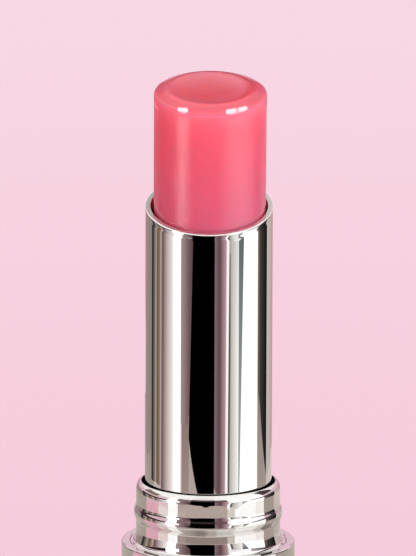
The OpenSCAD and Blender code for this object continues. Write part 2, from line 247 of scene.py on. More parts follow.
@dataclass
class Lathe:
    """Turns a piece ring by ring: a circle is extruded, moved and resized along the section."""

    sides: int = 512
    sharp_over: float = 35.0

    def turn(self, name: str, rings: list[Ring], ends: Ends) -> Piece:
        """Makes one closed mesh from its section.

        Args:
            name: Name of the new object.
            rings: The section, ring after ring.
            ends: How the first and the last ring are closed.

        Returns:
            The finished object, at the origin.
        """
        bpy.ops.object.select_all(action="DESELECT")
        first = rings[0]
        bpy.ops.mesh.primitive_circle_add(
            vertices=self.sides, radius=first.radius * MM, location=(0, 0, first.height * MM)
        )
        piece = bpy.context.object
        bpy.ops.object.transform_apply(location=True, rotation=True, scale=True)
        bpy.ops.object.mode_set(mode="EDIT")
        bpy.ops.mesh.select_mode(type="EDGE")
        bpy.ops.mesh.select_all(action="SELECT")
        self._lean(0.0, first)
        for before, ring in zip(rings, rings[1:]):
            self._step(before, ring)
        bpy.ops.mesh.select_all(action="DESELECT")
        bpy.ops.mesh.select_non_manifold()
        if ends is Ends.JOINED:
            bpy.ops.mesh.bridge_edge_loops()
        else:
            bpy.ops.mesh.fill_holes(sides=0)
        bpy.ops.mesh.select_all(action="SELECT")
        bpy.ops.mesh.remove_doubles(threshold=1e-8)
        bpy.ops.mesh.normals_make_consistent(inside=False)
        bpy.ops.object.mode_set(mode="OBJECT")
        bpy.ops.object.shade_smooth_by_angle(angle=math.radians(self.sharp_over))
        piece.name = name
        piece.data.name = name
        return piece

    def _step(self, before: Ring, ring: Ring) -> None:
        """Extrudes the selected ring to the next one.

        Args:
            before: The ring that is selected.
            ring: The ring to make.
        """
        bpy.ops.mesh.extrude_region_move(
            TRANSFORM_OT_translate={
                "value": ((ring.aside - before.aside) * MM, 0, (ring.height - before.height) * MM)
            }
        )
        share = ring.radius / before.radius
        centre = (ring.aside * MM, 0, ring.height * MM)
        bpy.ops.transform.resize(value=(share, share, share), center_override=centre)
        self._lean(before.slant, ring)

    def _lean(self, slant: float, ring: Ring) -> None:
        """Turns the selected ring from one slant to its own, and keeps it round seen from above.

        Args:
            slant: The slant that it has, in degrees.
            ring: The ring that it becomes.
        """
        if abs(slant - ring.slant) < 1e-9:
            return
        centre = (ring.aside * MM, 0, ring.height * MM)
        bpy.ops.transform.resize(value=(1, 1, 0), center_override=centre)
        if ring.slant:
            angle = math.radians(ring.slant)
            bpy.ops.transform.rotate(value=-angle, orient_axis="X", center_override=centre)
            grow = 1 / math.cos(angle)
            bpy.ops.transform.resize(value=(1, grow, grow), center_override=centre)


def wear(piece: Piece, body: Body, stands_for: str, material: Material) -> None:
    """Gives a new piece its material and its body, and hides the CAD node that it stands for.

    Args:
        piece: The new piece.
        body: The body that it moves with.
        stands_for: The CAD node that it replaces.
        material: Its material.
    """
    piece.data.materials.clear()
    piece.data.materials.append(material)
    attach(piece, body.value)
    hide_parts(stands_for)
    LOG.info("%s: %d faces on body %s", piece.name, len(piece.data.polygons), body.value)


# Finishes


@dataclass(frozen=True)
class Finish:
    """What a surface is made of. A finish says in shader_values what its shader gets."""

    name: str
    colour: str
    shade: str
    roughness: float
    rough_spread: Pair = (0.8, 1.2)
    relief_mm: float = 0.0
    relief_strength: float = 1.0
    tone_ends: Pair = (0.35, 0.65)

    def material(self) -> Material:
        """Makes the material, round a Principled shader.

        Returns:
            The material.
        """
        material, graph = empty_material(self.name)
        place = graph.add("TexCoord").outputs["Object"]
        shader = graph.add("BsdfPrincipled", values=self.shader_values(graph, place))
        graph.add("OutputMaterial", values={"Surface": shader.outputs["BSDF"]})
        return material

    def shader_values(self, graph: Graph, place: Socket) -> dict[str, object]:
        """Works out what the shader gets.

        Args:
            graph: The material's nodes.
            place: The object's own coordinates, in metres.

        Returns:
            Shader socket to its plain value, or to the socket that feeds it.
        """
        raise NotImplementedError

    def skin(self, graph: Graph, toned: Socket, roughened: Socket, raised: Socket) -> dict[str, object]:
        """Works out tone, roughness and fine relief from patterns that run from 0 to 1.

        Args:
            graph: The material's nodes.
            toned: The pattern between the finish's two close tones.
            roughened: The pattern of its roughness.
            raised: The pattern of its relief.

        Returns:
            Shader socket to the socket that feeds it.
        """
        stops = tuple(zip(self.tone_ends, (self.shade, self.colour)))
        low, high = (self.roughness * spread for spread in self.rough_spread)
        rough = {"Value": roughened, "To Min": low, "To Max": high}
        relief = {"Height": raised, "Strength": self.relief_strength, "Distance": self.relief_mm * MM}
        return {
            "Base Color": graph.add("ValToRGB", values={"Fac": toned}, stops=stops).outputs["Color"],
            "Roughness": graph.add("MapRange", values=rough).outputs["Result"],
            "Normal": graph.add("Bump", values=relief).outputs["Normal"],
        }


def per_metre(size_mm: float) -> float:
    """Works out the texture scale whose pattern repeats about every size_mm millimetres.

    Args:
        size_mm: Size of the pattern.

    Returns:
        The scale, for coordinates in metres.
    """
    return 1 / (size_mm * MM)


@dataclass(frozen=True)
class ChromePlate(Finish):
    """Bright chrome on moulded ABS: a mirror whose plastic below leaves a slow, very low waviness."""

    name: str = "chrome_plate_on_moulded_abs"
    colour: str = "D9D7D5"
    shade: str = "D2D0CE"
    roughness: float = 0.011
    rough_spread: Pair = (0.6, 1.6)
    relief_mm: float = 0.0006
    wave_mm: float = 3.0
    # The haze of real plating is finer. It is drawn as coarse as it needs to show.
    haze_mm: float = 0.4

    def shader_values(self, graph: Graph, place: Socket) -> dict[str, object]:
        """Returns a mirror's values, with a slow waviness and a faint haze."""
        haze_at = {"Vector": place, "Scale": per_metre(self.haze_mm), "Detail": 3.0}
        haze = graph.add("TexNoise", values=haze_at).outputs["Fac"]
        wave_at = {"Vector": place, "Scale": per_metre(self.wave_mm), "Detail": 0.0}
        wave = graph.add("TexNoise", values=wave_at).outputs["Fac"]
        return {**self.skin(graph, haze, haze, wave), "Metallic": 1.0}


@dataclass(frozen=True)
class DrawnTube(Finish):
    """Polished and plated drawn tube: a mirror with faint draw lines along the axis."""

    name: str = "plated_drawn_aluminium"
    colour: str = "D9D7D5"
    shade: str = "D4D2D0"
    roughness: float = 0.011
    rough_spread: Pair = (0.6, 1.6)
    relief_mm: float = 0.00008
    # Real draw lines are finer. They are drawn as coarse as they need to show.
    line_mm: float = 0.35
    stretch: float = 0.01
    # The bore is painted red: a painted glow that stands in for light from the balm in the gap under the
    # mouth.
    glow_ends_mm: Pair = (6.32, 6.36)
    bore_glow_paint: str = "D8485A"
    bore_roughness: float = 0.3

    def shader_values(self, graph: Graph, place: Socket) -> dict[str, object]:
        """Returns a mirror's values, with draw lines, and with a painted red glow of the balm in the bore.
        """
        drawn = graph.add("Mapping", values={"Vector": place, "Scale": (1, 1, self.stretch)})
        lines_at = {"Vector": drawn.outputs["Vector"], "Scale": per_metre(self.line_mm), "Detail": 2.0}
        lines = graph.add("TexNoise", values=lines_at).outputs["Fac"]
        skin = self.skin(graph, lines, lines, lines)
        first, last = metres(*self.glow_ends_mm)
        glow_span = {"Value": graph.off_axis(place), "From Min": first, "From Max": last}
        outside = graph.add("MapRange", values=glow_span).outputs["Result"]
        tones = {0: outside, 6: srgb(self.bore_glow_paint), 7: skin["Base Color"]}
        rough = {"Value": outside, "To Min": self.bore_roughness, "To Max": skin["Roughness"]}
        return {
            **skin,
            "Base Color": graph.add("Mix", {"data_type": "RGBA"}, tones).outputs[2],
            "Roughness": graph.add("MapRange", values=rough).outputs["Result"],
            "Metallic": outside,
        }


@dataclass(frozen=True)
class CastBalm(Finish):
    """Tinted wax balm cast in a metal mould: light goes deep into it, the flame-polished top is glossy."""

    name: str = "cast_tinted_wax"
    colour: str = "F36B7E"
    shade: str = "ED6578"
    roughness: float = 0.15
    relief_mm: float = 0.03
    # The foot colour is painted shade: over fade_mm the wall turns darker and pinker towards the tube's
    # mouth.
    foot_painted_shade: str = "D86683"
    # The dish is painted lighter at the front and darker at the back: painted light and shade.
    dish_front_painted_light: str = "FF5A6C"
    dish_back_painted_shade: str = "E25468"
    # The slope colour is painted shade, darker where more lamp light falls on the slope.
    slope_painted_shade: str = "E4516A"
    # The pale pink is painted light: round the dish's rim, and in a band over the top of the wall, with a
    # painted highlight along the parting line.
    pale: str = "F98BA4"
    scatter_mm: float = 2.4
    scatter_share: tuple[float, float, float] = (1.0, 0.22, 0.26)
    ior: float = 1.45
    oiliness: float = 0.75
    top_roughness: float = 0.03
    dish_roughness: float = 0.26
    dish_mm: Pair = (2.8, 5.0)
    # The mould's grain is finer. It is drawn as coarse as it needs to show.
    grain_mm: float = 0.2
    cloud_mm: float = 4.0
    cloud_ends: Pair = (0.3, 0.7)
    pale_mm: Pair = (-2.4, 1.2)
    wall_edge_mm: Pair = (0.05, -0.25)
    hollow_mm: Pair = (-0.4, 0.1)
    hollow_reach_mm: Pair = (1.6, 5.4)
    hollow_depth_mm: Pair = (-3.6, 2.6)
    slope_mm: Pair = (4.5, 5.1)
    shoulder_z: float = 73.10
    slant: float = 9.8
    fade_mm: Pair = (61.5, 72.0)
    # Shares of the pale pink: the painted highlight band at the parting line, and the painted light round
    # the dish's rim.
    line_highlight_shares: Stops = (
        (0.0, "000000"), (0.4, "707070"), (0.63, "A8A8A8"),
        (0.665, "FFFFFF"), (0.7, "C0C0C0"), (0.8, "000000"),
    )
    brim_light_shares: Stops = (
        (0.0, "000000"), (0.28, "6A6A6A"), (0.5, "9C9C9C"), (0.68, "B8B8B8"),
        (0.77, "808080"), (0.88, "404040"), (1.0, "181818"),
    )

    def shader_values(self, graph: Graph, place: Socket) -> dict[str, object]:
        """Returns scattering wax's values, glossy above the shoulder line and finely grained below it."""
        shares = self._shares(graph, place)
        grain_at = {"Vector": place, "Scale": per_metre(self.grain_mm), "Detail": 3.0}
        grain = graph.add("TexNoise", values=grain_at).outputs["Fac"]
        cloud_at = {"Vector": place, "Scale": per_metre(self.cloud_mm), "Detail": 2.0}
        cloud = graph.add("TexNoise", values=cloud_at).outputs["Fac"]
        raised = graph.add("Math", {"operation": "MULTIPLY"}, {0: grain, 1: shares["wall"]}).outputs["Value"]
        relief = {"Height": raised, "Strength": self.relief_strength, "Distance": self.relief_mm * MM}
        dish = {"Value": shares["dish"], "To Min": self.dish_roughness, "To Max": self.top_roughness}
        polished = graph.add("MapRange", values=dish).outputs["Result"]
        rough = {"Value": shares["wall"], "To Min": polished, "To Max": self.roughness}
        return {
            "Base Color": self._tone(graph, shares, cloud),
            "Roughness": graph.add("MapRange", values=rough).outputs["Result"],
            "Normal": graph.add("Bump", values=relief).outputs["Normal"],
            "IOR": self.ior,
            "Specular IOR Level": self.oiliness,
            "Subsurface Weight": 1.0,
            "Subsurface Radius": self.scatter_share,
            "Subsurface Scale": self.scatter_mm * MM,
        }

    def _shares(self, graph: Graph, place: Socket) -> dict[str, Socket]:
        """Works out where each zone of the balm starts and ends.

        Args:
            graph: The material's nodes.
            place: The object's own coordinates.

        Returns:
            Zone to its share, from 0 to 1.
        """
        parts = graph.add("SeparateXYZ", values={"Vector": place}).outputs
        lean = {0: parts["Y"], 1: -math.tan(math.radians(self.slant)), 2: parts["Z"]}
        leant = graph.add("Math", {"operation": "MULTIPLY_ADD"}, lean).outputs["Value"]
        away = graph.off_axis(place)
        zones = {
            "wall": (leant, [self.shoulder_z + edge for edge in self.wall_edge_mm]),
            "line": (leant, [self.shoulder_z + edge for edge in self.pale_mm]),
            "brim": (graph.off_axis(place, self.hollow_mm), self.hollow_reach_mm),
            "far": (parts["Y"], self.hollow_depth_mm),
            "slope": (away, self.slope_mm),
            "dish": (away, self.dish_mm),
            "rise": (parts["Z"], self.fade_mm),
        }
        shares = {}
        for zone, (value, (first, last)) in zones.items():
            ends = {"Value": value, "From Min": first * MM, "From Max": last * MM}
            shares[zone] = graph.add("MapRange", values=ends).outputs["Result"]
        for zone, stops in (("line", self.line_highlight_shares), ("brim", self.brim_light_shares)):
            shares[zone] = graph.add("ValToRGB", values={"Fac": shares[zone]}, stops=stops).outputs["Color"]
        return shares

    def _tone(self, graph: Graph, shares: dict[str, Socket], cloud: Socket) -> Socket:
        """Lays the balm's tones over each other: the dish's painted light and shade, the slope's painted
        shade, the painted light round the dish's rim, the clouded wall with painted shade at its foot, and
        the pale line's painted highlight.

        Args:
            graph: The material's nodes.
            shares: Zone to its share.
            cloud: The slow pattern in the wall.

        Returns:
            The tone.
        """
        stops = tuple(zip(self.cloud_ends, (self.shade, self.colour)))
        upper = graph.add("ValToRGB", values={"Fac": cloud}, stops=stops).outputs["Color"]
        # The wall's foot gets its painted shade here.
        wall = {0: shares["rise"], 6: srgb(self.foot_painted_shade), 7: upper}
        body = graph.add("Mix", {"data_type": "RGBA"}, wall).outputs[2]
        # Apart from the wall's cloud, every layer here is painted light or shade.
        tone = srgb(self.dish_front_painted_light)
        for zone, over in (
            ("far", srgb(self.dish_back_painted_shade)), ("slope", srgb(self.slope_painted_shade)), ("brim", srgb(self.pale)),
            ("wall", body), ("line", srgb(self.pale)),
        ):
            tone = graph.add("Mix", {"data_type": "RGBA"}, {0: shares[zone], 6: tone, 7: over}).outputs[2]
        return tone


@dataclass(frozen=True)
class MouldedPlastic(Finish):
    """Moulded engineering plastic: a satin skin with a fine spark-eroded grain."""

    relief_mm: float = 0.002
    flow_mm: float = 2.5
    grain_mm: float = 0.08
    ior: float = 1.49

    def shader_values(self, graph: Graph, place: Socket) -> dict[str, object]:
        """Returns satin plastic's values, with a fine grain and slow changes of tone."""
        grain_at = {"Vector": place, "Scale": per_metre(self.grain_mm), "Detail": 2.0}
        grain = graph.add("TexNoise", values=grain_at).outputs["Fac"]
        flow_at = {"Vector": place, "Scale": per_metre(self.flow_mm), "Detail": 2.0}
        flow = graph.add("TexNoise", values=flow_at).outputs["Fac"]
        return {**self.skin(graph, flow, grain, grain), "IOR": self.ior}


@dataclass(frozen=True)
class TurnedSteel(Finish):
    """Turned mild steel: rings of tool marks round the axis, and a dull grey sheen."""

    name: str = "turned_mild_steel"
    colour: str = "B9BABC"
    shade: str = "8E8F92"
    roughness: float = 0.32
    relief_mm: float = 0.01
    relief_strength: float = 0.6
    tone_ends: Pair = (0.0, 1.0)
    feed_mm: float = 0.12
    rings_per_scale: float = 20.0
    distortion: float = 0.6

    def shader_values(self, graph: Graph, place: Socket) -> dict[str, object]:
        """Returns metal's values, with tool marks in rings."""
        flat = graph.add("Mapping", values={"Vector": place, "Scale": (1, 1, 0)}).outputs["Vector"]
        scale = per_metre(self.feed_mm) / self.rings_per_scale
        marks = graph.add(
            "TexWave",
            {"wave_type": "RINGS", "rings_direction": "SPHERICAL"},
            {"Vector": flat, "Scale": scale, "Distortion": self.distortion},
        ).outputs["Fac"]
        return {**self.skin(graph, marks, marks, marks), "Metallic": 1.0}


@dataclass(frozen=True)
class NitrileRubber(Finish):
    """Greased nitrile rubber: near black with a soft sheen and a dusty grain."""

    name: str = "greased_nitrile_rubber"
    colour: str = "2B2A2A"
    shade: str = "1C1B1B"
    roughness: float = 0.45
    rough_spread: Pair = (1.0, 1.3)
    relief_mm: float = 0.004
    grain_mm: float = 0.15
    ior: float = 1.5

    def shader_values(self, graph: Graph, place: Socket) -> dict[str, object]:
        """Returns dark rubber's values, with a fine grain."""
        grain_at = {"Vector": place, "Scale": per_metre(self.grain_mm), "Detail": 3.0}
        grain = graph.add("TexNoise", values=grain_at).outputs["Fac"]
        return {**self.skin(graph, grain, grain, grain), "IOR": self.ior}


# Sub-assemblies


@dataclass
class BaseShell:
    """The bright shell that everything stands in. Sizes in millimetres."""

    radius: float = 9.35
    bore: float = 8.45
    height: float = 24.0
    floor_top: float = 1.4
    foot_round: float = 0.5
    foot_ring: float = 1.2
    foot_depth: float = 0.4
    foot_fill: float = 0.3
    soft: float = 0.06
    wall_hold: float = 0.15
    hold: float = 0.1
    outer_round: float = 0.18
    inner_round: float = 0.12
    finish: ChromePlate = field(default_factory=ChromePlate)

    def build(self, lathe: Lathe) -> Piece:
        """Turns the shell.

        Args:
            lathe: What turns it.

        Returns:
            The shell.
        """
        recess = self.radius - self.foot_ring
        soft = self.soft
        foot_r = self.radius - self.foot_round
        outer = (self.radius - self.outer_round, self.height - self.outer_round)
        inner = (self.bore + self.inner_round, self.height - self.inner_round)
        rings = [
            Ring(recess - self.foot_fill, self.foot_depth),
            Ring(recess - soft, self.foot_depth),
            Ring(recess, self.foot_depth - soft),
            Ring(recess, soft),
            Ring(recess + soft, 0),
            Ring(recess + 3 * soft, 0),
            Ring(foot_r - soft, 0),
            *arc_rings((foot_r, self.foot_round), self.foot_round, (-90, 0), 12),
            Ring(self.radius, self.foot_round + self.wall_hold),
            Ring(self.radius, outer[1] - self.wall_hold),
            *arc_rings(outer, self.outer_round, (0, 90), 10),
            Ring(outer[0] - soft, self.height),
            Ring(inner[0] + soft, self.height),
            *arc_rings(inner, self.inner_round, (90, 180), 8),
            Ring(self.bore, inner[1] - self.hold),
            Ring(self.bore, self.floor_top + self.hold),
            Ring(self.bore, self.floor_top),
            Ring(self.bore - self.hold, self.floor_top),
        ]
        return lathe.turn("base_shell_bright", rings, Ends.FILLED)

    def dress(self, piece: Piece) -> None:
        """Gives the shell its chrome and its body.

        Args:
            piece: The shell.
        """
        wear(piece, Body.BASE, "base_shell", self.finish.material())


@dataclass
class Collar:
    """The bright collar with its lip, snap bead and flared foot. Sizes in millimetres."""

    rim_z: float = 24.0
    height: float = 6.65
    wall_radius: float = 7.775
    bore: float = 7.215
    lip_width: float = 0.5
    lip_height: float = 0.9
    bead_z: float = 3.2
    bead_out: float = 0.225
    bead_radius: float = 1.535
    bead_hollow: float = 1.1
    flare_top: float = 1.45
    flare_radius: float = 4.2
    flare_tilt: float = 16.6
    foot_radius: float = 0.35
    skirt_radius: float = 8.42
    skirt_bore: float = 7.65
    skirt_foot: float = 12.0
    shoulder_z: float = 22.0
    edge_round: float = 0.12
    hold: float = 0.1
    bead_hold: float = 0.08
    crest_width: float = 0.03
    crest_drop: float = 0.005
    bore_holds: Pair = (0.04, 0.12)
    finish: ChromePlate = field(default_factory=ChromePlate)

    def build(self, lathe: Lathe) -> Piece:
        """Turns the collar from the skirt's foot up over the lip and down the bore.

        Args:
            lathe: What turns it.

        Returns:
            The collar.
        """
        top = self.rim_z + self.height
        edge = (self.skirt_radius - self.edge_round, self.rim_z - self.edge_round)
        rings = [
            Ring(self.skirt_radius - self.hold, self.skirt_foot),
            Ring(self.skirt_radius, self.skirt_foot + self.hold),
            Ring(self.skirt_radius, edge[1] - self.hold),
            *arc_rings(edge, self.edge_round, (0, 90), 8),
            *self._foot(),
            *self._bead(),
            *self._lip(top),
            *(Ring(self.bore, top - drop) for drop in self.bore_holds),
            Ring(self.bore, self.shoulder_z),
            Ring(self.skirt_bore, self.shoulder_z),
            Ring(self.skirt_bore, self.skirt_foot + self.hold),
            Ring(self.skirt_bore + self.hold, self.skirt_foot),
        ]
        return lathe.turn("collar_bright", rings, Ends.JOINED)

    def _foot(self) -> list[Ring]:
        """Lays the hollow foot.

        Returns:
            The rings from the flange up into the lower land.
        """
        tilt = math.radians(self.flare_tilt)
        flare_top = self.rim_z + self.flare_top
        low_r = self.wall_radius + self.flare_radius * (1 - math.cos(tilt))
        low_z = flare_top - self.flare_radius * math.sin(tilt)
        centre = (low_r + self.foot_radius * math.cos(tilt), low_z + self.foot_radius * math.sin(tilt))
        drop = self.rim_z - (centre[1] - self.foot_radius)
        fillet = arc_rings((centre[0], centre[1] + drop), self.foot_radius, (270, 180 + self.flare_tilt), 12)
        middle = (self.wall_radius + self.flare_radius, flare_top)
        flare = arc_rings(middle, self.flare_radius, (180 + self.flare_tilt, 180), 14)
        last = len(flare) - 1
        return fillet + [Ring(f.radius, f.height + drop * (1 - i / last)) for i, f in enumerate(flare)][1:]

    def _bead(self) -> list[Ring]:
        """Lays the bead between its two hollow roundings.

        Returns:
            The rings, with those that hold the lands straight.
        """
        middle = self.rim_z + self.bead_z
        whole = self.bead_radius + self.bead_hollow
        tilt = math.degrees(math.acos(1 - self.bead_out / whole))
        reach = whole * math.sin(math.radians(tilt))
        hollow_r = self.wall_radius + self.bead_hollow
        bead_r = self.wall_radius + self.bead_out - self.bead_radius
        return [
            Ring(self.wall_radius, self.rim_z + self.flare_top + self.hold),
            Ring(self.wall_radius, middle - reach - self.bead_hold),
            *arc_rings((hollow_r, middle - reach), self.bead_hollow, (180, 180 - tilt), 8),
            *arc_rings((bead_r, middle), self.bead_radius, (-tilt, tilt), 16)[1:],
            *arc_rings((hollow_r, middle + reach), self.bead_hollow, (180 + tilt, 180), 8)[1:],
            Ring(self.wall_radius, middle + reach + self.bead_hold),
        ]

    def _lip(self, top: float) -> list[Ring]:
        """Lays the rounded lip.

        Args:
            top: Height of the lip, in millimetres.

        Returns:
            The rings from the upper land to the crisp inner edge.
        """
        radius = (self.lip_width**2 + self.lip_height**2) / (2 * self.lip_width)
        last = math.degrees(math.asin(self.lip_height / radius))
        return [
            Ring(self.wall_radius, top - self.lip_height - self.hold),
            *arc_rings((self.wall_radius - radius, top - self.lip_height), radius, (0, last), 16),
            Ring(self.bore + self.crest_width, top - self.crest_drop),
        ]

    def dress(self, piece: Piece) -> None:
        """Gives the collar its chrome and its body.

        Args:
            piece: The collar.
        """
        wear(piece, Body.BASE, "collar", self.finish.material())


@dataclass
class TubeCover:
    """The drawn tube with its slanted, turned-in mouth. Sizes in millimetres, slant in degrees."""

    radius: float = 6.85
    bore: float = 6.55
    lip_bore: float = 6.30
    foot_z: float = 21.9
    mouth_z: float = 61.0
    slant: float = 13.8
    lip_depth: float = 1.0
    outer_round: float = 0.13
    inner_round: float = 0.05
    roll_out: float = 0.03
    roll_from: float = 0.72
    roll_length: float = 0.5
    roll_steps: int = 8
    foot_hold: float = 0.2
    straight_z: Pair = (40.0, 52.0)
    leans: tuple[Pair, ...] = ((3.2, 0.6), (1.6, 1.0), (0.75, 1.0))
    rim_hold: float = 0.03
    lip_hold: float = 0.05
    hold: float = 0.1
    finish: DrawnTube = field(default_factory=DrawnTube)

    def build(self, lathe: Lathe) -> Piece:
        """Turns the tube, with its top rings laid on the slant.

        Args:
            lathe: What turns it.

        Returns:
            The tube.
        """
        s = self.slant
        top = self.mouth_z
        outer = (self.radius + self.roll_out - self.outer_round, top - self.outer_round)
        inner = (self.lip_bore + self.inner_round, top - self.inner_round)
        under = top - self.lip_depth
        rings = [
            Ring(self.radius, self.foot_z),
            Ring(self.radius, self.foot_z + self.foot_hold),
            *(Ring(self.radius, height) for height in self.straight_z),
            *(Ring(self.radius, top - drop, s * share) for drop, share in self.leans),
            *self._roll(top),
            *arc_rings(outer, self.outer_round, (0, 90), 10, s),
            Ring(outer[0] - self.rim_hold, top, s),
            *arc_rings(inner, self.inner_round, (90, 180), 8, s),
            Ring(self.lip_bore, inner[1] - self.lip_hold, s),
            Ring(self.lip_bore, under + self.lip_hold, s),
            Ring(self.lip_bore, under, s),
            Ring(self.bore, under, s),
            Ring(self.bore, under - self.hold, s),
            Ring(self.bore, self.straight_z[1]),
            Ring(self.bore, self.foot_z),
        ]
        return lathe.turn("tube_cover_bright", rings, Ends.JOINED)

    def _roll(self, top: float) -> list[Ring]:
        """Lays the slight swelling that turning the lip in leaves under the rim.

        Args:
            top: Height of the rim on the axis, in millimetres.

        Returns:
            The rings from the wall up to the full swelling.
        """
        made = []
        for i in range(self.roll_steps + 1):
            share = i / self.roll_steps
            out = self.roll_out * (1 - math.cos(math.pi * share)) / 2
            made.append(Ring(self.radius + out, top - self.roll_from + self.roll_length * share, self.slant))
        return made

    def dress(self, piece: Piece) -> None:
        """Gives the tube its bright skin and its body.

        Args:
            piece: The tube.
        """
        wear(piece, Body.TUBE, "tube_cover", self.finish.material())


@dataclass
class BalmBullet:
    """The cast balm: foot, wall, rounded shoulder and dished top. Sizes in millimetres, slant in degrees."""

    radius: float = 6.03
    top_radius: float = 6.06
    shoulder_z: float = 73.10
    slant: float = 9.8
    aside: Pair = (0.045, 0.09)
    cup_foot_z: float = 38.1
    cup_top_z: float = 43.6
    cup_radius: float = 5.40
    hub_radius: float = 3.23
    core_radius: float = 2.4
    core_top_z: float = 68.52
    line_out: float = 0.012
    edge_radius: float = 0.31
    slope_tilts: Pair = (64, 73)
    slope_rise: float = 0.40
    crest_radius: float = 1.4
    dish_depth: float = 0.34
    dish_inset: float = 0.15
    dish_steps: int = 24
    foot_hold: float = 0.2
    line_hold: float = 0.08
    # Each ring of the upright wall: height, swelling, shift.
    wall_rings: tuple[tuple[float, float, float], ...] = ((58.0, 0.0, 0.0), (62.0, 0.005, 0.01))
    # Each ring that leans over: drop under the line, share of the slant, what lacks in radius and in shift.
    leans: tuple[tuple[float, float, float, float], ...] = (
        (4.2, 0.4, 0.012, 0.02), (2.2, 0.8, 0.006, 0.01), (1.2, 1.0, 0.0, 0.0),
    )
    # Each ring of the parting line: rise over the line, share of line_out.
    line_rings: tuple[Pair, ...] = ((0.03, 1.0), (0.055, 1.0), (0.085, 0.0), (0.1, 0.0))
    finish: CastBalm = field(default_factory=CastBalm)

    def build(self, lathe: Lathe) -> Piece:
        """Turns the balm from the top of its core over foot and wall to the middle of its dish.

        Args:
            lathe: What turns it.

        Returns:
            The balm.
        """
        s = self.slant
        line = self.shoulder_z
        low, high = self.aside
        rings = [
            Ring(self.core_radius, self.core_top_z),
            Ring(self.core_radius, self.cup_top_z),
            Ring(self.hub_radius, self.cup_top_z),
            Ring(self.hub_radius, self.cup_foot_z),
            Ring(self.cup_radius, self.cup_foot_z),
            Ring(self.cup_radius, self.cup_top_z),
            Ring(self.radius, self.cup_top_z),
            Ring(self.radius, self.cup_top_z + self.foot_hold),
            *(Ring(self.radius + out, height, 0, low + shift) for height, out, shift in self.wall_rings),
            *(Ring(self.top_radius - less, line - drop, s * share, high - short)
              for drop, share, less, short in self.leans),
            Ring(self.top_radius, line - self.line_hold, s, high),
            *self._shoulder(Ring(self.top_radius, line, s, high)),
        ]
        return lathe.turn("balm_cast", rings, Ends.FILLED)

    def _shoulder(self, start: Ring) -> list[Ring]:
        """Lays edge, slope, crest and dish.

        Args:
            start: The ring of the mould's parting line.

        Returns:
            The rings from the parting line to the middle of the dish.
        """
        low, high = self.slope_tilts
        made = [start]
        for rise, out in self.line_rings:
            radius = start.radius + self.line_out * out
            made.append(Ring(radius, start.height + rise, start.slant, start.aside))
        made += bend_rings(made[-1], (0, low), self.edge_radius * math.sin(math.radians(low)), 12)
        made += bend_rings(made[-1], (low, high), self.slope_rise, 12)
        made += bend_rings(made[-1], (high, 90), self.crest_radius * (1 - math.sin(math.radians(high))), 8)
        inner = 90 + math.degrees(math.atan(2 * self.dish_depth / (made[-1].radius - self.dish_inset)))
        fall = self.crest_radius * (1 - math.sin(math.radians(inner)))
        made += bend_rings(made[-1], (90, inner), -fall, 6)
        top = made[-1]
        for i in range(1, self.dish_steps):
            share = 1 - i / self.dish_steps
            drop = self.dish_depth * (1 - share * share)
            made.append(Ring(top.radius * share, top.height - drop, top.slant, top.aside))
        return made

    def dress(self, piece: Piece) -> None:
        """Gives the balm its wax and its body.

        Args:
            piece: The balm.
        """
        wear(piece, Body.LIFT, "balm", self.finish.material())


@dataclass
class Mechanism:
    """The inner pieces, whose CAD shapes stay and get their own finishes."""

    steel: TurnedSteel = field(default_factory=TurnedSteel)
    rubber: NitrileRubber = field(default_factory=NitrileRubber)
    insert: MouldedPlastic = MouldedPlastic("moulded_abs_ivory", "E6E0D0", "DDD6C4", 0.4)
    screw: MouldedPlastic = MouldedPlastic("moulded_acetal_white", "F0EFEA", "E6E5DF", 0.25)
    liner: MouldedPlastic = MouldedPlastic("moulded_polypropylene_natural", "E9E8E4", "DFDEDA", 0.3)
    carrier: MouldedPlastic = MouldedPlastic("moulded_acetal_soft_white", "EDEBE6", "E2E0DA", 0.35)

    def dress(self, nodes: dict[str, Piece]) -> None:
        """Gives each inner CAD node its material.

        Args:
            nodes: The CAD nodes by name.
        """
        finishes = {
            "base_weight": self.steel,
            "base_insert": self.insert,
            "spindle": self.screw,
            "tube_liner": self.liner,
            "drag_ring": self.rubber,
            "carrier": self.carrier,
        }
        for name, finish in finishes.items():
            node = nodes[name]
            material = finish.material()
            if node.material_slots:
                for slot in node.material_slots:
                    slot.material = material
            else:
                node.data.materials.append(material)
            LOG.info("%s: dressed in %s", name, material.name)


# Studio

WHITE = [(0.0, "FFFFFF"), (1.0, "FFFFFF")]
TURN_STEP = 5
# Heights of the flags and of the cloth over them, just under the balm's parting line, in millimetres.
FLAG_Z = 71.8
CLOTH_Z = 71.9


def polar(angle: float, distance: float, height: float) -> Vector:
    """Finds a place round the stick.

    Args:
        angle: Degrees from -Y towards +X.
        distance: Distance from the axis.
        height: Height over the floor.

    Returns:
        The place.
    """
    turn = math.radians(angle)
    return Vector((distance * math.sin(turn), -distance * math.cos(turn), height))


def only_in_reflections(piece: Piece) -> None:
    """Makes a stage piece that everything but glossy rays passes through.

    Args:
        piece: The piece.
    """
    piece.visible_camera = False
    piece.visible_diffuse = False
    piece.visible_transmission = False
    piece.visible_volume_scatter = False
    piece.visible_shadow = False


def hang_band(name: str, low: list[Vector], high: list[Vector], paper: Material) -> Piece:
    """Hangs a band of paper that only shows in reflections.

    Args:
        name: Name of the band.
        low: Points along its first edge, in millimetres.
        high: As many points along its second edge.
        paper: Its material, which finds U along the edges and V from the first edge to the second.

    Returns:
        The band.
    """
    steps = len(low) - 1
    bpy.ops.object.select_all(action="DESELECT")
    bpy.ops.mesh.primitive_grid_add(x_subdivisions=steps, y_subdivisions=1, size=2, location=(0, 0, 0))
    band = bpy.context.object
    for vertex in band.data.vertices:
        edge = high if vertex.co.y > 0 else low
        vertex.co = edge[round((vertex.co.x + 1) / 2 * steps)] * MM
    band.name = name
    band.data.materials.append(paper)
    only_in_reflections(band)
    return band


